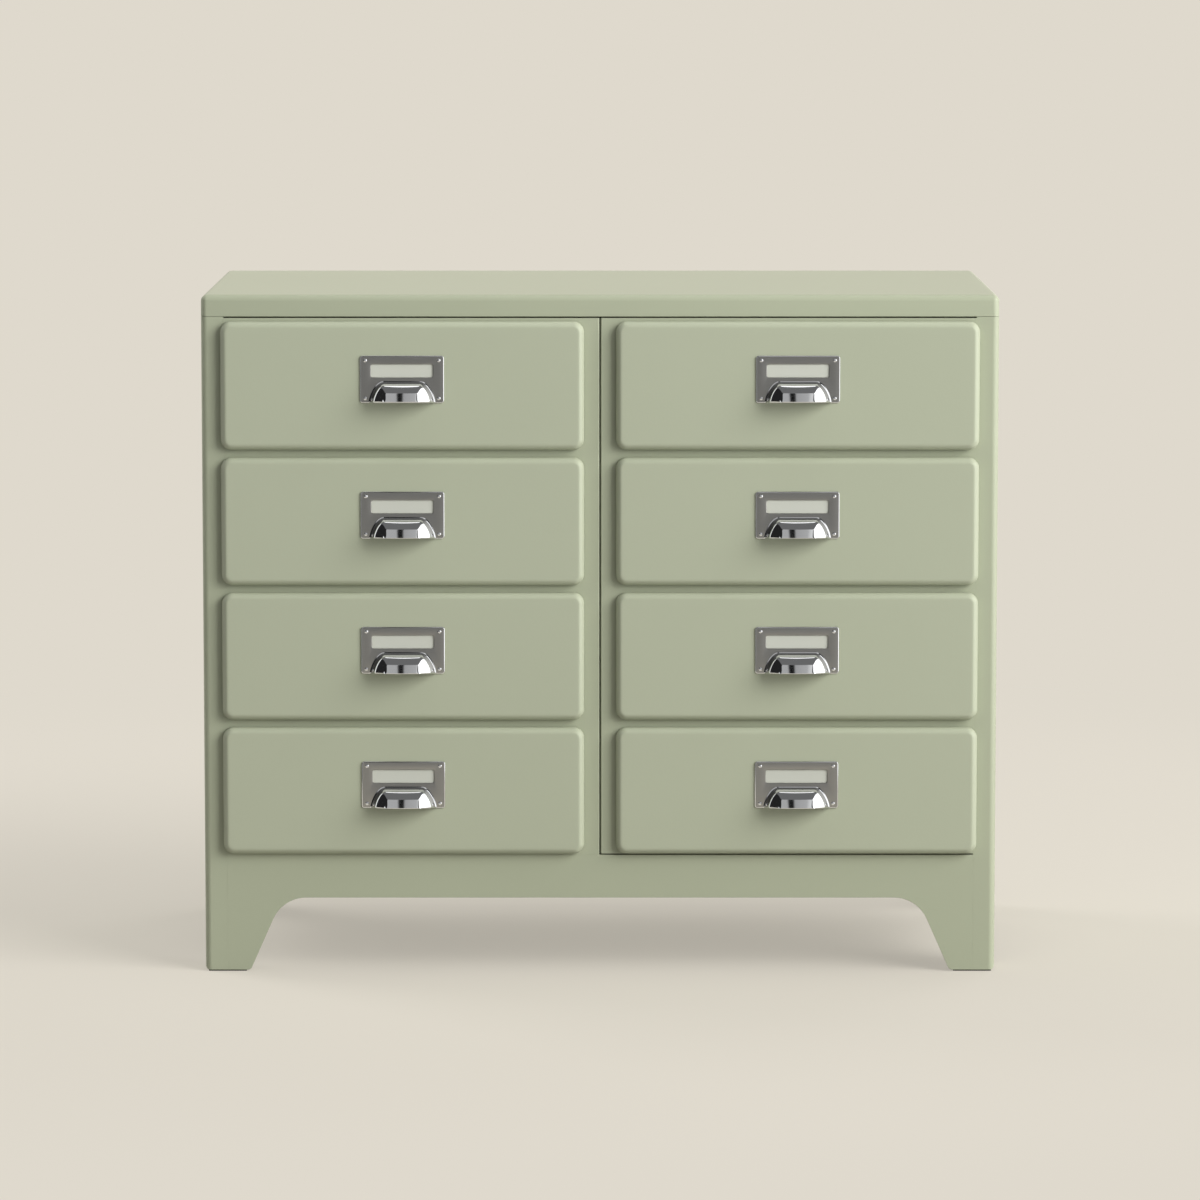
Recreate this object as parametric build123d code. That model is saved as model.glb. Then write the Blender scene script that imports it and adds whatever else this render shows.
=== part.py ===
from build123d import *
from math import cos, pi, sin
import os

# Small steel cabinet with eight drawers in two columns, standing on legs cut out of its own sheet
# sides and apron. Millimetres. The drawers face -Y, +Z is up, and the origin lies on the floor
# under the middle of the whole cabinet, pulls included.

# ---- carcass ----
width = 740.0
height = 635.0
depth = 380.0               # from the face frames' front plane to the back
sheet = 1.0                 # outer sheet, face frames and runner panels
bend_r = 6.0                # outside radius of the top's and the sides' folds
lip_h = 20.3                # the top pan's lip
top_return = 14.0           # the lip's inward flange, and the sides' top and arch flanges
stile_w = 21.0              # the sides' folded front and rear returns
return_d = 12.0             # depth of the frames' and the apron's folded edges
seam_gap = 1.2              # open seam between the pressed panels of the front
rail_bend_r = 1.2           # soft edge of the face frames at the centre seam
back_gap = 2.0              # from the back panel's edges to the sides' rear folds
top_hollow = 4.0            # corners cut off the hollow under the top

# ---- legs and apron ----
pad_h = 1.5                 # rubber pads under the feet
apron_top = 110.5
arch_top = 70.0
foot_w = 42.5               # width of a foot at the floor
arch_corner = 72.8          # from the cabinet's side to where the leg's slope meets the arch
arch_r = 34.0
foot_r = 4.0

# ---- drawers ----
rows = 4
front_proud = 10.0          # how far the pressed fronts stand out
front_corner_r = 10.0
front_edge_r = 5.8
front_corner_chords = 6     # each round corner and soft edge is drawn in this many flats
front_edge_chords = 4
front_hollow_corner = 5.5   # corners and edge cut off the hollow behind a front
front_hollow_edge = 3.4
side_reveal = 18.2          # left bare between a front and the cabinet's side
centre_reveal = 14.8        # and between a front and the centre seam
top_reveal = 4.15           # and over the top fronts, up to the top's lip
bottom_reveal = 2.0         # and under the lowest fronts, down to the apron
row_gap = 7.35              # between one front and the next below
overlap_side = 7.0          # how far a front laps the frame at each side
overlap_top = 5.5
front_gap = 1.0             # left open behind the fronts
running_gap = 0.3           # under the trays and before their stop tabs

tray_sheet = 0.8
tray_side_gap = 2.0
tray_rise = 3.0             # tray's underside above the window's lower edge
tray_head = 5.0             # and its top below the window's upper edge
tray_rear_gap = 25.0        # from the tray's rear wall to the cabinet's back
hem_w = 10.0                # the side walls' hems, folded inward
travel = 280.0
stop_l = 8.0                # stop tabs, bent up from the hems
stop_h = 8.0
runner_w = 12.0
keeper_gap = 1.0            # between the tray's hem and the strip that keeps it from tipping

# ---- pulls ----
plate_w = 78.0
plate_h = 44.0
plate_t = 1.6
plate_r = 2.5
plate_rise = 6.4            # plate's centre above the front's centre
label_w = 57.5
label_h = 12.2
label_r = 2.0
label_drop = 8.0            # window's top edge below the plate's top edge
pocket_margin = 2.5         # pocket behind the window, wider than it by this all round
pocket_d = 0.5
card_t = 0.4
card_gap = 0.4
cup_w = 62.0
cup_h = 20.4
cup_end = 15.0              # width of the quarter-oval ends of its level top
cup_rim = 1.2               # thickness of the rim round the shell
cup_out = 20.0              # how far the cup stands out from the plate
cup_wall = 1.0
cup_chords = 7              # flats to each quarter oval
# The shell from the rim to the middle: its outline's share of the rim's, and how far out.
cup_profile = [(0.92, 0.0), (0.74, 8.4), (0.6, 14.2), (0.42, 18.6), (0.22, cup_out)]

# ---- worked out from the sizes above ----
half_w = width / 2
overall_depth = depth + front_proud + plate_t + cup_out
y_back = overall_depth / 2
y_frame = y_back - depth
y_front = y_frame - front_proud
y_plate = y_front - plate_t
seam_z = height - lip_h
stile_x = half_w - stile_w
lowest_front = apron_top + bottom_reveal
front_w = half_w - side_reveal - centre_reveal
front_h = (seam_z - top_reveal - lowest_front - (rows - 1) * row_gap) / rows
pitch = front_h + row_gap
window_w = front_w - 2 * overlap_side
window_h = front_h - 2 * overlap_top
column_x = half_w - side_reveal - front_w / 2
tray_w = window_w - 2 * tray_side_gap
tray_h = window_h - tray_rise - tray_head
tray_back = depth - tray_rear_gap
y_tray = y_frame - front_proud + sheet
back_sheet = tray_sheet
y_back_panel = y_back - sheet - back_sheet
back_half_w = half_w - bend_r - back_gap
floor_flange = 15.0
liner_back = y_back - bend_r - sheet
pick = 0.1                  # how near a named place an edge or corner is looked for


def block(x0, x1, y0, y1, z0, z1):
    """A block between two limits on each axis."""
    return Pos((x0 + x1) / 2, (y0 + y1) / 2, (z0 + z1) / 2) * Box(abs(x1 - x0), y1 - y0, z1 - z0)


def rectangle(a0, a1, b0, b1):
    """A rectangle between two limits on each axis of its sketch."""
    return Pos((a0 + a1) / 2, (b0 + b1) / 2) * Rectangle(abs(a1 - a0), b1 - b0)


def from_front(face, y0, y1):
    """A sketch in the front view, X across and Z up, given thickness from y0 to y1."""
    return extrude(Plane.XZ.offset(-y1) * face, amount=y1 - y0)


def from_side(face, x0, x1):
    """A sketch in the side view, Y across and Z up, given thickness from x0 to x1."""
    return extrude(Plane.YZ.offset(x0) * face, amount=x1 - x0)


def from_above(face, z0, z1):
    """A sketch in plan, given thickness from z0 to z1."""
    return extrude(Plane.XY.offset(z0) * face, amount=z1 - z0)


def arched_panel(a0, a1, outer, top):
    """A panel from a0 to a1 whose lower edge is cut to an arch between two feet.

    outer holds the cabinet's own two sides, which the feet are measured from.
    """
    left, right = outer
    outline = Polyline(
        (a0, pad_h),
        (left + foot_w, pad_h),
        (left + arch_corner, arch_top),
        (right - arch_corner, arch_top),
        (right - foot_w, pad_h),
        (a1, pad_h),
        (a1, top),
        (a0, top),
        close=True,
    )
    face = make_face(outline)
    crown = face.vertices().filter_by_position(Axis.Y, arch_top - pick, arch_top + pick)
    face = fillet(crown, arch_r)
    soles = face.vertices().filter_by_position(Axis.Y, pad_h - pick, pad_h + pick)
    inner_soles = soles.sort_by(Axis.X)[1:3]
    return fillet(inner_soles, foot_r)


def flat_faced(outlines):
    """A solid through outlines of equally many corners, in flat faces from each to the next."""
    faces = [Face(Wire.make_polygon(outline)) for outline in (outlines[0], outlines[-1])]
    for near, far in zip(outlines, outlines[1:]):
        for i in range(len(near)):
            faces.append(Face(Wire.make_polygon((near[i - 1], near[i], far[i], far[i - 1]))))
    return Solid(Shell(faces))


def quarter(chords):
    """Angles of a quarter turn's corners, when it is drawn in equal flats."""
    return [pi / 2 * step / chords for step in range(chords + 1)]


def round_outline(w, h, corner_r, z, chords):
    """Corners of a rectangle with rounded corners, level at z."""
    corners = []
    for turn, (side_x, side_y) in enumerate(((1, 1), (-1, 1), (-1, -1), (1, -1))):
        centre_x = side_x * (w / 2 - corner_r)
        centre_y = side_y * (h / 2 - corner_r)
        for angle in quarter(chords):
            angle += turn * pi / 2
            corners.append((centre_x + corner_r * cos(angle), centre_y + corner_r * sin(angle), z))
    return corners


def hollow(w, h, thick, corner, edge):
    """The hollow of a pressed pan, on the XY plane, with its corners and upper edge cut off."""
    body = Pos(0, 0, thick / 2) * Box(w, h, thick)
    body = chamfer(body.edges().filter_by(Axis.Z), corner)
    return chamfer(body.edges().group_by(Axis.Z)[-1], edge)


# The top is one sheet folded down on all four sides, with the lips turned in again below.
def top_panel():
    lip = height - seam_z
    reach = sheet + top_return
    body = Pos(0, 0, lip / 2) * Box(width, depth, lip)
    body = fillet(body.edges().filter_by(Axis.Z) + body.edges().group_by(Axis.Z)[-1], bend_r)
    body -= Pos(0, 0, sheet) * hollow(
        width - 2 * sheet, depth - 2 * sheet, lip - 2 * sheet, top_hollow, top_hollow
    )
    body -= Pos(0, 0, sheet / 2) * Box(width - 2 * reach, depth - 2 * reach, sheet)
    return Pos(0, (y_frame + y_back) / 2, seam_z) * body


# Each side is one sheet with folded front and rear stiles, a flange on top that the top is fixed
# to, and flanges along the arch and under the feet.
def side_core(inset):
    """The left side's outer shape, or its inner one when set in by the sheet's thickness."""
    x_out = -half_w + inset
    plan = rectangle(x_out, -stile_x, y_frame + inset, y_back - inset)
    plan = fillet(plan.vertices().group_by(Axis.X)[0], bend_r - inset)
    front = rectangle(x_out, -stile_x, pad_h + inset, seam_z - inset)
    front = fillet(front.vertices().group_by(Axis.X)[0].sort_by(Axis.Y)[:1], foot_r - inset)
    profile = arched_panel(y_frame, y_back, (y_frame, y_back), seam_z)
    if inset:
        profile = offset(profile, -inset)
    body = from_above(plan, pad_h, seam_z)
    body = body & from_front(front, y_frame, y_back)
    return body & from_side(profile, -half_w, -stile_x)


def left_side_panel():
    trim = block(-half_w + top_return, -stile_x, y_frame + sheet, y_back - sheet, pad_h, seam_z)
    return side_core(0) - side_core(sheet) - trim


def folded_edges(face, y0, y1):
    """A sheet in the front view whose every edge is folded back, from y0 to y1."""
    core = offset(face, -sheet, kind=Kind.INTERSECTION)
    return from_front(face, y0, y1) - from_front(core, y0 + sheet, y1)


def front_apron():
    face = arched_panel(-stile_x, stile_x, (-half_w, half_w), apron_top)
    return folded_edges(face, y_frame, y_frame + return_d)


def window_bottom(row):
    """Lower edge of a drawer's window; row 1 is the top one."""
    return lowest_front + overlap_top + (rows - row) * pitch


# One pressed face frame to each column, with four windows and every edge folded back.
def face_frame(x_outer, x_inner, centre, bottom):
    top = seam_z - seam_gap
    low, high = sorted((x_outer, x_inner))
    face = rectangle(low, high, bottom, top)
    core = rectangle(low + sheet, high - sheet, bottom + sheet, top - sheet)
    for row in range(1, rows + 1):
        z0 = window_bottom(row)
        z1 = z0 + window_h
        x0 = centre - window_w / 2
        x1 = centre + window_w / 2
        face -= rectangle(x0, x1, z0, z1)
        core -= rectangle(x0 - sheet, x1 + sheet, z0 - sheet, z1 + sheet)
    body = from_front(face, y_frame, y_frame + return_d)
    body -= from_front(core, y_frame + sheet, y_frame + return_d)
    seam = body.edges().filter_by(Axis.Z).filter_by_position(Axis.Y, y_frame - pick, y_frame + pick)
    seam = seam.filter_by_position(Axis.X, x_inner - pick, x_inner + pick)
    return fillet(seam, rail_bend_r)


def back_panel():
    bottom = apron_top - floor_flange - sheet
    return block(-back_half_w, back_half_w, y_back_panel, y_back - sheet, bottom, seam_z - sheet)


# The floor is a shallow tray turned upside down, notched at the rear to pass the sides' folds.
def floor_panel():
    y0 = y_frame + return_d
    x1 = half_w - sheet
    plan = rectangle(-x1, x1, y0, liner_back) + rectangle(-back_half_w, back_half_w, y0, y_back_panel)
    core = offset(plan, -sheet, kind=Kind.INTERSECTION)
    body = from_above(plan, apron_top - sheet - floor_flange, apron_top)
    return body - from_above(core, apron_top - sheet - floor_flange, apron_top - sheet)


def centre_partition():
    y0 = y_frame + return_d
    web = block(-sheet / 2, sheet / 2, y0, y_back_panel, apron_top, seam_z)
    flange = block(sheet / 2, sheet / 2 + top_return, y_back_panel - sheet, y_back_panel, apron_top, seam_z)
    return web + flange


# A runner panel lines one side of a column. Its edges are folded back to what carries it, and at
# each drawer a runner and a keeper strip stand out from it, under and over the tray's side.
def runner_panel(window_x, carrier_x):
    inward = 1 if window_x > carrier_x else -1
    y0 = y_frame + return_d
    top = seam_z - sheet
    back_x = window_x - inward * sheet
    body = block(*sorted((back_x, window_x)), y0, liner_back, apron_top, top)
    for y_fold in (y0, liner_back - sheet):
        body += block(*sorted((carrier_x, back_x)), y_fold, y_fold + sheet, apron_top, top)
    for row in range(1, rows + 1):
        tray_bottom = window_bottom(row) + tray_rise
        for z0 in (tray_bottom - running_gap - sheet, tray_bottom + tray_h + keeper_gap):
            reach = sorted((window_x, window_x + inward * runner_w))
            body += block(*reach, y0, liner_back, z0, z0 + sheet)
    return body


# Rubber pads: L-shaped under the front feet, where side and apron meet, and straight at the back.
def foot_pad(front):
    edge = bend_r / 2
    length = foot_w - edge - foot_r
    x0 = -half_w + edge
    x1 = -half_w + top_return
    if not front:
        y1 = y_back - edge
        return block(x0, x1, y1 - length, y1, 0, pad_h)
    y0 = y_frame + edge
    across = block(x0, x0 + length, y0, y_frame + return_d, 0, pad_h)
    return across + block(x0, x1, y0, y0 + length, 0, pad_h)


# ---- one drawer, drawn at x = 0 with its front's lower edge at z = 0 ----
def drawer_tray():
    w = tray_w / 2
    y1 = y_frame + tray_back
    z0 = overlap_top + tray_rise
    z1 = z0 + tray_h
    t = tray_sheet
    body = block(-w, w, y_tray, y1, z0, z1)
    body -= block(-w + t, w - t, y_tray + t, y1 - t, z0 + t, z1)
    y_stop = y_frame + return_d + running_gap + travel
    for side in (-1, 1):
        hem_x = sorted((side * w, side * (w - t - hem_w)))
        tab_x = sorted((side * (w - hem_w), side * (w - t - hem_w)))
        body += block(*hem_x, y_tray, y1, z1 - t, z1)
        body += block(*tab_x, y_stop, y_stop + stop_l, z1 - t, z1 + stop_h)
    return body


# The fronts are pressed pans with round corners and a soft edge.
def drawer_front():
    thick = front_proud - front_gap
    outlines = [round_outline(front_w, front_h, front_corner_r, 0, front_corner_chords)]
    for angle in quarter(front_edge_chords):
        inset = front_edge_r * (1 - cos(angle))
        z = thick - front_edge_r * (1 - sin(angle))
        w = front_w - 2 * inset
        h = front_h - 2 * inset
        outlines.append(round_outline(w, h, front_corner_r - inset, z, front_corner_chords))
    body = flat_faced(outlines)
    body -= hollow(
        front_w - 2 * sheet, front_h - 2 * sheet, thick - sheet, front_hollow_corner, front_hollow_edge
    )
    return Pos(0, y_frame - front_gap, front_h / 2) * Rot(90, 0, 0) * body


plate_z = front_h / 2 + plate_rise
plate_bottom = plate_z - plate_h / 2
label_z = plate_z + plate_h / 2 - label_drop - label_h / 2


# The pull plate frames the label: the card lies in a pocket pressed into its back.
def pull_plate():
    face = Pos(0, plate_z) * RectangleRounded(plate_w, plate_h, plate_r)
    body = from_front(face, y_plate, y_front)
    window = Pos(0, label_z) * RectangleRounded(label_w, label_h, label_r)
    pocket = Pos(0, label_z) * Rectangle(label_w + 2 * pocket_margin, label_h + 2 * pocket_margin)
    body -= from_front(window, y_plate, y_front)
    return body - from_front(pocket, y_front - pocket_d, y_front)


def label_card():
    size = 2 * (pocket_margin - card_gap)
    card = Pos(0, label_z) * Rectangle(label_w + size, label_h + size)
    return from_front(card, y_front - card_t, y_front)


# The cup is a drawn shell with an open underside: a thin rim on the plate, a wall that leans in
# to a shoulder, and a domed face that rolls over from there. Its outline is level on top with
# quarter-oval ends, and shrinks in proportion as it stands out, so that every flat is true.
def cup_outline(scale, out):
    """Corners of the cup's outline, shrunk by a scale, at a distance out from the plate."""
    flat = cup_w / 2 - cup_end
    end = cup_end * scale
    rise = cup_h * scale
    right = [(flat + end * cos(angle), rise * sin(angle)) for angle in quarter(cup_chords)]
    left = [(-x, z) for x, z in reversed(right)]
    return [(x, y_plate - out, plate_bottom + z) for x, z in right + left]


def pull_cup():
    rim = flat_faced([cup_outline(1, 0), cup_outline(1, cup_rim)])
    shell = flat_faced([cup_outline(scale, out) for scale, out in cup_profile])
    thinner = cup_wall / cup_h
    inside = [cup_outline(scale - thinner, max(out - cup_wall, 0)) for scale, out in cup_profile]
    return rim + shell - flat_faced(inside)


os.makedirs("parts", exist_ok=True)

left_side = left_side_panel()
window_outer = column_x + window_w / 2
window_inner = column_x - window_w / 2
wall_x = half_w - sheet
web_x = sheet / 2
half_gap = seam_gap / 2
pad_front = foot_pad(True)
pad_back = foot_pad(False)

carcass = {
    "top_panel": top_panel(),
    "left_side_panel": left_side,
    "right_side_panel": mirror(left_side, about=Plane.YZ),
    "back_panel": back_panel(),
    "floor_panel": floor_panel(),
    "centre_partition": centre_partition(),
    "front_apron": front_apron(),
    "left_face_frame": face_frame(-stile_x, -half_gap, -column_x, apron_top),
    "right_face_frame": face_frame(stile_x, half_gap, column_x, apron_top + seam_gap),
    "left_outer_runners": runner_panel(-window_outer, -wall_x),
    "left_inner_runners": runner_panel(-window_inner, -web_x),
    "right_inner_runners": runner_panel(window_inner, web_x),
    "right_outer_runners": runner_panel(window_outer, wall_x),
    "front_left_pad": pad_front,
    "front_right_pad": mirror(pad_front, about=Plane.YZ),
    "back_left_pad": pad_back,
    "back_right_pad": mirror(pad_back, about=Plane.YZ),
}
for name, shape in carcass.items():
    export_step(shape, f"parts/{name}.step")

drawer = {
    "tray": drawer_tray(),
    "front": drawer_front(),
    "pull_plate": pull_plate(),
    "cup": pull_cup(),
    "label_card": label_card(),
}
for side, x in (("left", -column_x), ("right", column_x)):
    for row in range(1, rows + 1):
        place = Pos(x, 0, lowest_front + (rows - row) * pitch)
        for piece, shape in drawer.items():
            export_step(place * shape, f"parts/{side}_drawer_{row}_{piece}.step")
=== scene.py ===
from math import cos, pi, radians, sin

import bpy
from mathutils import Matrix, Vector


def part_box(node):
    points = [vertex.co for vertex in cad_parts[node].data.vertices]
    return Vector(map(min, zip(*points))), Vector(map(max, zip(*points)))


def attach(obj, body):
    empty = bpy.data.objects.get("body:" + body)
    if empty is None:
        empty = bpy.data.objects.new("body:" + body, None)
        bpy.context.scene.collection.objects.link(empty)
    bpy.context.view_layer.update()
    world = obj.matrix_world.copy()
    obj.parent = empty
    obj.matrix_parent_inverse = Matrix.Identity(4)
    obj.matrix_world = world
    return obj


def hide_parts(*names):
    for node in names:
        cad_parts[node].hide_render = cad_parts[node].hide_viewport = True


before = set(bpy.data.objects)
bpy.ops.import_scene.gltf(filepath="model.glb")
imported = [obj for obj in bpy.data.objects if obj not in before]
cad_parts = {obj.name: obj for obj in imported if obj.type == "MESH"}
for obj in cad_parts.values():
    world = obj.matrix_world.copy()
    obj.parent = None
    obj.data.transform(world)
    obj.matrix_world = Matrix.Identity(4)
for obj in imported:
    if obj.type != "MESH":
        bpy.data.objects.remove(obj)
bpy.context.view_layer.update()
bpy.context.scene.view_settings.view_transform = "Standard"


# ---- The studio ----
# A pale beige floor runs on into a beige wall of the same tone. A wide soft lamp stands to the
# front right, a weak one hangs overhead and two more stand behind the cabinet. The camera looks
# at it square on, from a third of a metre above its top and more than five metres off.
camera_distance = 5.424
camera_height = 0.983
camera_tilt = 6.65
camera_lens = 175.9
camera_film = 36
camera_reach = 60
face_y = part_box("left_face_frame")[0].y


def add_object(name, data):
    """An object in the scene that holds this camera, lamp or mesh."""
    thing = bpy.data.objects.new(name, data)
    bpy.context.scene.collection.objects.link(thing)
    return thing


camera = add_object("camera", bpy.data.cameras.new("camera"))
camera.location = (0, face_y - camera_distance, camera_height)
camera.rotation_euler = (radians(90 - camera_tilt), 0, 0)
camera.data.sensor_width = camera_film
camera.data.lens = camera_lens
camera.data.clip_end = camera_reach
bpy.context.scene.camera = camera

lamp_aim = Vector((0, 0, 0.32))
front_white = (1, 0.995, 0.98)
back_white = (1, 0.99, 0.985)


def soft_lamp(name, azimuth, elevation, distance, width, height, watts, tint):
    """A flat lamp turned to the cabinet, at degrees off the front and up, with sizes in metres."""
    lamp = bpy.data.lights.new(name, "AREA")
    lamp.shape = "RECTANGLE"
    lamp.size = width
    lamp.size_y = height
    lamp.energy = watts
    lamp.color = tint
    holder = add_object(name, lamp)
    turn = radians(azimuth)
    rise = radians(elevation)
    back = Vector((sin(turn) * cos(rise), -cos(turn) * cos(rise), sin(rise)))
    holder.location = lamp_aim + back * distance
    holder.rotation_euler = back.to_track_quat("Z", "Y").to_euler()
    holder.visible_camera = False
    holder.visible_glossy = False


soft_lamp("key_lamp", 54, 27, 6.0, 4.4, 3.6, 330, front_white)
soft_lamp("top_lamp", 20, 82, 2.6, 1.6, 1.6, 6, front_white)
soft_lamp("left_back_lamp", -120, 25, 3.5, 1.6, 1.6, 50, back_white)
soft_lamp("right_back_lamp", 145, 25, 3.5, 1.6, 1.6, 22, back_white)


def add_node(tree, kind, inputs=None, **settings):
    """A shader node with these settings, whose inputs take a value or another node's output."""
    node = tree.nodes.new("ShaderNode" + kind)
    for setting, value in settings.items():
        setattr(node, setting, value)
    for name, value in (inputs or {}).items():
        if isinstance(value, bpy.types.NodeSocket):
            tree.links.new(value, node.inputs[name])
        else:
            node.inputs[name].default_value = value
    return node


def work_out(tree, operation, first, second):
    """The result of one operation on two values."""
    return add_node(tree, "Math", {0: first, 1: second}, operation=operation).outputs["Value"]


def ramp_over(tree, value, start, end, low=0, high=1, **settings):
    """Goes from low to high while the value goes from start to end."""
    ends = {"Value": value, "From Min": start, "From Max": end, "To Min": low, "To Max": high}
    return add_node(tree, "MapRange", ends, **settings).outputs["Result"]


def mix_tones(tree, share, a, b):
    """A colour on the way from a to b."""
    return add_node(tree, "Mix", {"Factor": share, "A": a, "B": b}, data_type="RGBA").outputs["Result"]


beige = (0.738, 0.694, 0.610, 1)

# Brightness of the room's walls, by degrees off the front, 90 to the right and -90 to the left.
# Heights in the room are sines of the angle above the horizon.
back_wall_tone = 0.4
wall_tones = [
    (-100, 0.4), (-95, 1.2), (-84, 1.2), (-80, 0.02), (-31, 0.02), (-29, 0.48), (-6.5, 0.48),
    (-6, 0.01), (-0.5, 0.01), (0, 0.42), (12, 0.5), (13, 0.75), (19, 0.8), (20, 0.03), (30, 0.03),
    (33, 1.6), (50, 1.6), (60, 2.1), (90, 2.1), (98, 0.5),
]
wall_top = 0.60
ceiling_edge = 0.68
ceiling_tone = 0.17
skylight_edge = 0.968
skylight_inside = 0.976
skylight_tone = 1.5
backdrop_front = 0.05

room = bpy.data.worlds.new("room")
room.use_nodes = True
room_tree = room.node_tree
outward = add_node(room_tree, "TexCoord").outputs["Generated"]
heading = add_node(room_tree, "SeparateXYZ", {"Vector": outward}).outputs
frontward = work_out(room_tree, "MULTIPLY", heading["Y"], -1)
azimuth = work_out(room_tree, "ARCTAN2", heading["X"], frontward)
walls = add_node(room_tree, "ValToRGB", {"Fac": ramp_over(room_tree, azimuth, -pi, pi)})
stops = walls.color_ramp.elements
for stop in stops:
    stop.color = (back_wall_tone, back_wall_tone, back_wall_tone, 1)
for degrees, tone in wall_tones:
    stops.new((degrees + 180) / 360).color = (tone, tone, tone, 1)
above = ramp_over(room_tree, heading["Z"], wall_top, ceiling_edge)
ceiling = ramp_over(
    room_tree, heading["Z"], skylight_edge, skylight_inside, ceiling_tone, skylight_tone
)
surround = mix_tones(room_tree, above, walls.outputs["Color"], ceiling)

# The camera sees the beige backdrop on all sides, and gloss sees it behind the cabinet.
seen = add_node(room_tree, "LightPath").outputs
mirrored = work_out(room_tree, "MAXIMUM", seen["Is Glossy Ray"], seen["Is Transmission Ray"])
behind = work_out(room_tree, "GREATER_THAN", heading["Y"], backdrop_front)
backdrop = work_out(room_tree, "MULTIPLY", mirrored, behind)
plain = work_out(room_tree, "MAXIMUM", seen["Is Camera Ray"], backdrop)
view = mix_tones(room_tree, plain, surround, beige)
room_tree.links.new(view, room_tree.nodes["Background"].inputs["Color"])
bpy.context.scene.world = room

floor_centre_y = 0.9
floor_radius = 2.2
floor_rings = 6
floor_sides = 72
floor_points = [(0, floor_centre_y, 0)]
floor_faces = []
for ring in range(1, floor_rings + 1):
    r = floor_radius * ring / floor_rings
    for side in range(floor_sides):
        angle = 2 * pi * side / floor_sides
        floor_points.append((r * sin(angle), floor_centre_y - r * cos(angle), 0))
for side in range(floor_sides):
    after = (side + 1) % floor_sides
    floor_faces.append((0, 1 + side, 1 + after))
    for ring in range(floor_rings - 1):
        near = 1 + ring * floor_sides
        far = near + floor_sides
        floor_faces.append((near + side, far + side, far + after, near + after))
floor_mesh = bpy.data.meshes.new("floor")
floor_mesh.from_pydata(floor_points, [], floor_faces)
floor = add_object("floor", floor_mesh)

# The floor shows the cabinet's shadow in its middle and fades to plain beige around it. It throws
# less light up at the cabinet than its own tone would.
paper_tone = (0.68, 0.64, 0.565, 1)
thrown_tone = (0.36, 0.34, 0.30, 1)
shadow_share = 0.46
shadow_centre = (0, 0.36, 0)
shadow_inner_r = 0.9
shadow_outer_r = 1.6

paper = bpy.data.materials.new("beige_paper")
paper.use_nodes = True
paper_tree = paper.node_tree
paper_tree.nodes.remove(paper_tree.nodes["Principled BSDF"])
seen = add_node(paper_tree, "LightPath").outputs
mirrored = work_out(paper_tree, "MAXIMUM", seen["Is Glossy Ray"], seen["Is Transmission Ray"])
plain = work_out(paper_tree, "MAXIMUM", mirrored, seen["Is Camera Ray"])
lit_tone = mix_tones(paper_tree, plain, thrown_tone, paper_tone)
place = add_node(paper_tree, "TexCoord").outputs["Object"]
off_centre = add_node(paper_tree, "VectorMath", {0: place, 1: shadow_centre}, operation="DISTANCE")
lit_share = ramp_over(
    paper_tree,
    off_centre.outputs["Value"],
    shadow_inner_r,
    shadow_outer_r,
    shadow_share,
    0,
    interpolation_type="SMOOTHSTEP",
)
depth = add_node(paper_tree, "Mix", {"Factor": plain, "A": 1, "B": lit_share})
glow = add_node(paper_tree, "Emission", {"Color": beige})
lit = add_node(paper_tree, "BsdfDiffuse", {"Color": lit_tone})
surface = add_node(
    paper_tree,
    "MixShader",
    {"Fac": depth.outputs["Result"], 1: glow.outputs["Emission"], 2: lit.outputs["BSDF"]},
)
paper_output = paper_tree.nodes["Material Output"]
paper_tree.links.new(surface.outputs["Shader"], paper_output.inputs["Surface"])
floor_mesh.materials.append(paper)


# ---- Painted sheet of the carcass ----
# The carcass is folded from steel sheet about a millimetre thick and spot-welded. It is then
# powder-coated sage green, inside and out. The coat is satin, with the ripple that powder leaves.
coat_roughness = 0.34
coat_drift_scale = 5
coat_ripple_scale = 420
coat_ripple_strength = 0.12
coat_ripple_height = 0.0004
coated_edge_r = 0.0005


def two_tone(name, dark, light, grain_scale, roughness, grain_detail=2, metallic=0):
    """A finish whose colour moves between two near tones with a fine grain."""
    finish = bpy.data.materials.new(name)
    finish.use_nodes = True
    tree = finish.node_tree
    grain = add_node(tree, "TexNoise", {"Scale": grain_scale, "Detail": grain_detail})
    tone = mix_tones(tree, grain.outputs["Fac"], (*dark, 1), (*light, 1))
    shader = tree.nodes["Principled BSDF"]
    shader.inputs["Roughness"].default_value = roughness
    shader.inputs["Metallic"].default_value = metallic
    tree.links.new(tone, shader.inputs["Base Color"])
    return finish


def powder_coat(name, dark, light):
    """Satin powder coat: wide drifts of tone, a fine ripple and softly rounded edges."""
    coat = two_tone(name, dark, light, coat_drift_scale, coat_roughness, grain_detail=3)
    tree = coat.node_tree
    place = add_node(tree, "TexCoord").outputs["Object"]
    tree.links.new(place, tree.nodes["Noise Texture"].inputs["Vector"])
    ripple = add_node(tree, "TexNoise", {"Vector": place, "Scale": coat_ripple_scale, "Detail": 2})
    coated_edge = add_node(tree, "Bevel", {"Radius": coated_edge_r}, samples=6)
    relief = add_node(
        tree,
        "Bump",
        {
            "Strength": coat_ripple_strength,
            "Distance": coat_ripple_height,
            "Height": ripple.outputs["Fac"],
            "Normal": coated_edge.outputs["Normal"],
        },
    )
    tree.links.new(relief.outputs["Normal"], tree.nodes["Principled BSDF"].inputs["Normal"])
    return coat


def finish_node(node, finish):
    """A CAD node keeps its mesh and takes this finish."""
    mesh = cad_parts[node].data
    mesh.materials.clear()
    mesh.materials.append(finish)


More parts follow.
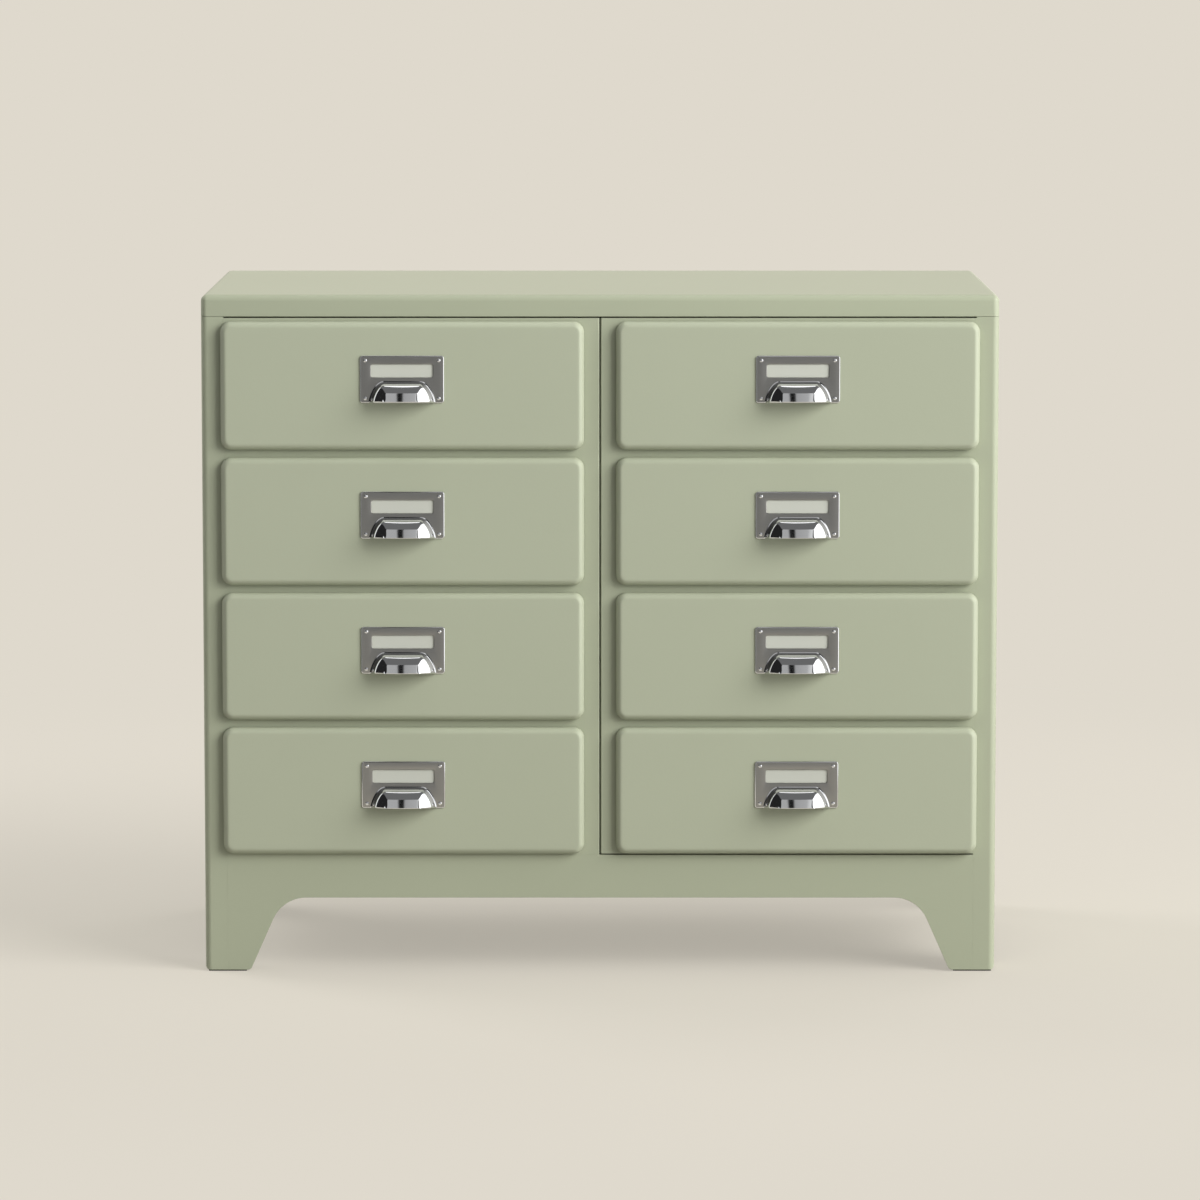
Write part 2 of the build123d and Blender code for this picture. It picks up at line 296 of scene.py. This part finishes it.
sage_coat = powder_coat("sage_powder_coat", (0.410, 0.442, 0.318), (0.430, 0.462, 0.336))
painted = [
    "left_side_panel", "right_side_panel", "back_panel", "floor_panel", "centre_partition",
    "front_apron", "left_face_frame", "right_face_frame", "left_outer_runners",
    "left_inner_runners", "right_inner_runners", "right_outer_runners",
]
for node in painted:
    finish_node(node, sage_coat)


# ---- Foot pads ----
# Four pads of black rubber, glued under the folded feet. From the front they show only as a thin
# dark line between foot and floor.
rubber = two_tone(
    "black_rubber", (0.02, 0.02, 0.02), (0.05, 0.048, 0.045), grain_scale=60, roughness=0.8
)
for corner in ("front_left", "front_right", "back_left", "back_right"):
    finish_node(corner + "_pad", rubber)


# ---- Top ----
# One sheet of steel folded down on all four sides over a round former, its lips turned in again
# below and fixed to the sides' flanges, then coated with the rest.
sheet = 0.001
fold_r = 0.006
fold_steps = 8
fold_margin = 0.002
inner_fold = 0.008
inner_face_inset = 0.012
turned_in = 0.014
lip_break_in = 0.0006
lip_break_up = 0.0004
top_least_r = 0.0004
low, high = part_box("top_panel")
top_w = high.x - low.x
top_d = high.y - low.y
top_y = (low.y + high.y) / 2


def round_outline(w, h, r, steps=8):
    """Corners of a rectangle with rounded corners, anticlockwise, in its own plane."""
    corners = []
    for turn, (side_a, side_b) in enumerate(((1, 1), (-1, 1), (-1, -1), (1, -1))):
        for step in range(steps + 1):
            angle = pi / 2 * (turn + step / steps)
            a = side_a * (w / 2 - r) + r * cos(angle)
            b = side_b * (h / 2 - r) + r * sin(angle)
            corners.append((a, b))
    return corners


def top_outline(inset, z):
    """The top's outline in plan, set in from its lips, at a height."""
    r = max(fold_r - inset, top_least_r)
    return [(x, y + top_y, z) for x, y in round_outline(top_w - 2 * inset, top_d - 2 * inset, r)]


def smooth_piece(name, points, faces, finish, body, sharp_angle):
    """A smooth mesh of one finish that moves with a body, sharp only at folds past this angle."""
    mesh = bpy.data.meshes.new(name)
    mesh.from_pydata(points, [], faces)
    mesh.shade_smooth()
    mesh.set_sharp_from_angle(angle=radians(sharp_angle))
    mesh.materials.append(finish)
    piece = add_object(name, mesh)
    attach(piece, body)
    return piece


def formed_sheet(name, outlines, finish, body, capped=True, ring=False, sharp_angle=35):
    """A piece through outlines of equally many points, each joined to the next by a strip."""
    count = len(outlines[0])
    points = [point for outline in outlines for point in outline]
    faces = []
    pairs = list(zip(range(len(outlines) - 1), range(1, len(outlines))))
    if ring:
        pairs.append((len(outlines) - 1, 0))
    for near, far in pairs:
        for i in range(count):
            j = (i + 1) % count
            faces.append((near * count + i, near * count + j, far * count + j, far * count + i))
    if capped:
        faces.append(tuple(reversed(range(count))))
        faces.append(tuple(range((len(outlines) - 1) * count, len(outlines) * count)))
    return smooth_piece(name, points, faces, finish, body, sharp_angle)


# From the inner face, which turns down in one flat facet, round the turned-in lip and up the
# outside to the round fold.
top_outlines = [
    top_outline(inner_face_inset, high.z - sheet),
    top_outline(inner_fold, high.z - sheet),
    top_outline(sheet, high.z - inner_fold),
    top_outline(sheet, low.z + sheet),
    top_outline(turned_in + sheet, low.z + sheet),
    top_outline(turned_in + sheet, low.z),
    top_outline(lip_break_in, low.z),
    top_outline(0, low.z + lip_break_up),
]
for step in range(fold_steps + 1):
    angle = pi / 2 * step / fold_steps
    top_outlines.append(top_outline(fold_r * (1 - cos(angle)), high.z - fold_r * (1 - sin(angle))))
top_outlines.append(top_outline(fold_r + fold_margin, high.z))
top_sheet = formed_sheet("top_sheet", top_outlines, sage_coat, "carcass")
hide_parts("top_panel")


# ---- Drawer trays ----
# Each tray is a box folded from thinner sheet, with its sides hemmed inward and a stop tab bent up
# from each hem. It is coated like the carcass.
drawers = [f"{side}_drawer_{row}" for side in ("left", "right") for row in (1, 2, 3, 4)]
for drawer in drawers:
    finish_node(drawer + "_tray", sage_coat)


# ---- Drawer fronts ----
# Each front is a shallow pan pressed from sheet, with round corners and a soft edge all round. It
# is fixed over the tray's front wall. Its coat is the carcass's sage coat made a shade lighter:
# painted light that lifts the fronts above the frame around them.
# A lighter copy of the carcass coat, painted light on the fronts.
front_coat_painted_light = powder_coat("front_powder_coat_painted_light", (0.436, 0.468, 0.345), (0.457, 0.489, 0.364))
front_corner_r = 0.010
front_least_r = 0.0008
front_edge_r = 0.0048
front_edge_flatness = 1.4
pan_face_inset = 0.009
pan_bend = 0.006
pan_bend_middle = 0.0025


def upright_outline(low, high, y, inset, r):
    """A box's rounded outline as seen from the front, set in all round, at a depth."""
    middle_x = (low.x + high.x) / 2
    middle_z = (low.z + high.z) / 2
    flat = round_outline(high.x - low.x - 2 * inset, high.z - low.z - 2 * inset, r)
    return [(middle_x + a, y, middle_z + b) for a, b in flat]


for drawer in drawers:
    low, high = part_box(drawer + "_front")

    # Inset and depth, from the pan's inner face round its rear rim to the outer face.
    profile = [
        (pan_face_inset, low.y + sheet),
        (pan_bend, low.y + sheet),
        (pan_bend_middle, low.y + pan_bend_middle),
        (sheet, low.y + pan_bend),
        (sheet, high.y),
        (0, high.y),
    ]
    for step in range(fold_steps + 1):
        angle = pi / 2 * step / fold_steps
        inset = front_edge_r * (1 - max(cos(angle), 0) ** front_edge_flatness)
        back = front_edge_r * (1 - sin(angle) ** front_edge_flatness)
        profile.append((inset, low.y + back))
    profile.append((front_edge_r + fold_margin, low.y))
    outlines = [
        upright_outline(low, high, y, inset, max(front_corner_r - inset, front_least_r))
        for inset, y in profile
    ]
    pan = formed_sheet(drawer + "_pressed_front", outlines, front_coat_painted_light, drawer)
    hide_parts(drawer + "_front")


# ---- Pull plates ----
# A stamped steel plate frames the label on each drawer. It is nickel-plated and brushed, with
# edges just broken by the tool, and is riveted through the front at its four corners.
steel_roughness = 0.34
brush_scale = (60, 900, 4000)
brush_strength = 0.08
brush_depth = 0.0002
plate_corner_r = 0.0025
plate_break = 0.0009
window_break = 0.0007
break_steps = 4
window_w = 0.0575
window_h = 0.0122
window_r = 0.002
window_drop = 0.008
pocket_margin = 0.0025
pocket_depth = 0.0005


def brushed_steel(name, dark, light):
    """Nickel-plated steel with fine horizontal brush marks."""
    metal = two_tone(name, dark, light, 1, steel_roughness, grain_detail=4, metallic=1)
    tree = metal.node_tree
    brush = tree.nodes["Noise Texture"]
    place = add_node(tree, "TexCoord").outputs["Object"]
    stretch = add_node(tree, "Mapping", {"Vector": place, "Scale": brush_scale})
    tree.links.new(stretch.outputs["Vector"], brush.inputs["Vector"])
    relief = add_node(
        tree,
        "Bump",
        {"Strength": brush_strength, "Distance": brush_depth, "Height": brush.outputs["Fac"]},
    )
    tree.links.new(relief.outputs["Normal"], tree.nodes["Principled BSDF"].inputs["Normal"])
    return metal


satin_steel = brushed_steel("satin_steel", (0.355, 0.35, 0.33), (0.415, 0.41, 0.39))
chrome = two_tone(
    "polished_chrome",
    (0.72, 0.73, 0.74),
    (0.78, 0.785, 0.79),
    grain_scale=160,
    roughness=0.07,
    metallic=1,
)
for drawer in drawers:
    low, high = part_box(drawer + "_pull_plate")
    plate_x = (low.x + high.x) / 2
    window_z = high.z - window_drop - window_h / 2

    # From the plate's back round its outer edge, over its face and through the window into the
    # card's pocket.
    outlines = [upright_outline(low, high, high.y, 0, plate_corner_r)]
    for step in range(break_steps + 1):
        lean = pi / 2 * step / break_steps
        inset = plate_break * (1 - cos(lean))
        y = low.y + plate_break * (1 - sin(lean))
        outlines.append(upright_outline(low, high, y, inset, plate_corner_r - inset))
    window_profile = []
    for step in range(break_steps, -1, -1):
        lean = pi / 2 * step / break_steps
        window_profile.append(
            (window_break * (1 - cos(lean)), low.y + window_break * (1 - sin(lean)))
        )
    window_profile += [
        (0, high.y - pocket_depth),
        (pocket_margin, high.y - pocket_depth),
        (pocket_margin, high.y),
    ]
    for grow, y in window_profile:
        flat = round_outline(window_w + 2 * grow, window_h + 2 * grow, window_r + grow)
        outlines.append([(plate_x + a, y, window_z + b) for a, b in flat])
    plate = formed_sheet(drawer + "_plate", outlines, satin_steel, drawer, capped=False, ring=True)

    # The plate's outer edge, broken by the tool, is left bright.
    plate.data.materials.append(chrome)
    for polygon in plate.data.polygons:
        strip = polygon.index // len(outlines[0])
        if 1 <= strip <= break_steps:
            polygon.material_index = 1
    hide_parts(drawer + "_pull_plate")


# ---- Label cards ----
# A blank card of pale, slightly green board stands behind each plate's window. It slides into the
# pocket at the plate's back, whose edges hold it.
card_board = two_tone(
    "card_board",
    (0.575, 0.59, 0.52),
    (0.63, 0.645, 0.575),
    grain_scale=900,
    roughness=0.85,
    grain_detail=4,
)
for drawer in drawers:
    finish_node(drawer + "_label_card", card_board)


# ---- Cup pulls ----
# Each pull is a half cup drawn from thin brass sheet, polished and chrome-plated, open below for
# the fingers. Its rim lies on the plate, its wall leans in to a shoulder, and its face is domed.
cup_wall = 0.0009
cup_bottom_rise = 0.0024
cup_bow = 0.22
corner_lean = 0.78
corner_steps = 20
level_steps = 14
bend_steps = 6
lip_steps = 10

# Lines round the cup, each with its half width, its height, the width of the round corner at its
# end, and how far it stands out from the plate.
rim = (0.0310, 0.0204, 0.0138, 0)
rim_edge = (0.0310, 0.0204, 0.0138, 0.0009)
wall_foot = (0.0302, 0.0196, 0.0134, 0.0012)
shoulder = (0.0261, 0.0173, 0.0100, 0.0128)
crease = (0.0175, 0.0106, 0.0036, 0.0180)
lip_end = (0.0157, cup_bottom_rise, 0.0030, 0.0197)
crease_end = 0.1


def between(a, b, share):
    """A point on the way from a to b."""
    return tuple(p + (q - p) * share for p, q in zip(a, b))


def bend(before, corner, after, back, on):
    """A corner of the profile rounded off, from a share of the way back to a share of the way on."""
    start = between(corner, before, back)
    end = between(corner, after, on)
    curve = []
    for step in range(bend_steps + 1):
        share = step / bend_steps
        curve.append(between(between(start, corner, share), between(corner, end, share), share))
    return curve


def cup_row(half, height, end, bottom):
    """One line round the cup from its right lower end over the top to its left lower end."""
    right = []
    for step in range(corner_steps + 1):
        turn = pi / 2 * step / corner_steps
        in_from_end = end * (1 - cos(turn)) ** corner_lean
        right.append((half - in_from_end, bottom + (height - bottom) * sin(turn)))
    for step in range(1, level_steps + 1):
        right.append(((half - end) * (1 - step / level_steps), height))
    return right + [(-x, z) for x, z in reversed(right[:-1])]


stations = [rim, rim_edge, wall_foot]
stations += bend(wall_foot, shoulder, crease, back=0.07, on=0.35)
stations += bend(shoulder, crease, lip_end, back=0.08, on=crease_end)
for step in range(1, lip_steps + 1):
    stations.append(between(crease, lip_end, crease_end + (1 - crease_end) * step / lip_steps))
for drawer in drawers:
    low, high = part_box(drawer + "_cup")
    cup_x = (low.x + high.x) / 2
    points = []
    for half, height, end, out in stations:
        bottom = cup_bottom_rise * out / lip_end[3]
        for x, z in cup_row(half, height, end, bottom):
            bow = 1 - cup_bow * (x / rim[0]) ** 2
            points.append((cup_x + x, high.y - out * bow, low.z + z))
    across = 2 * (corner_steps + level_steps) + 1
    faces = []
    for row in range(len(stations) - 1):
        for step in range(across - 1):
            a = row * across + step
            faces.append((a, a + 1, a + 1 + across, a + across))
    shell = smooth_piece(drawer + "_cup_shell", points, faces, chrome, drawer, sharp_angle=50)
    thickness = shell.modifiers.new("drawn_wall", "SOLIDIFY")
    thickness.thickness = cup_wall
    thickness.offset = -1
    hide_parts(drawer + "_cup")


# ---- Rivets ----
# Four small domed rivets of plated steel, one at each corner, hold a plate to its front. Their
# heads sit just into the plate's face, and their shanks, which don't show, are left out.
rivet_r = 0.0019
rivet_rise = 0.0010
rivet_seat = 0.0001
rivet_in_x = 0.005
rivet_in_z = 0.0044
rivet_sides = 16
rivet_rings = 5
rings_left_flat = 0.4
for drawer in drawers:
    low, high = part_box(drawer + "_pull_plate")
    for name, x, z in (
        ("top_left", low.x + rivet_in_x, high.z - rivet_in_z),
        ("top_right", high.x - rivet_in_x, high.z - rivet_in_z),
        ("bottom_left", low.x + rivet_in_x, low.z + rivet_in_z),
        ("bottom_right", high.x - rivet_in_x, low.z + rivet_in_z),
    ):
        rings = []
        for ring in range(rivet_rings + 1):
            lean = pi / 2 * ring / (rivet_rings + rings_left_flat)
            r = rivet_r * cos(lean)
            y = low.y + rivet_seat - rivet_rise * sin(lean)
            turns = [2 * pi * side / rivet_sides for side in range(rivet_sides)]
            rings.append([(x + r * cos(turn), y, z + r * sin(turn)) for turn in turns])
        rivet = formed_sheet(f"{drawer}_rivet_{name}", rings, chrome, drawer, sharp_angle=60)
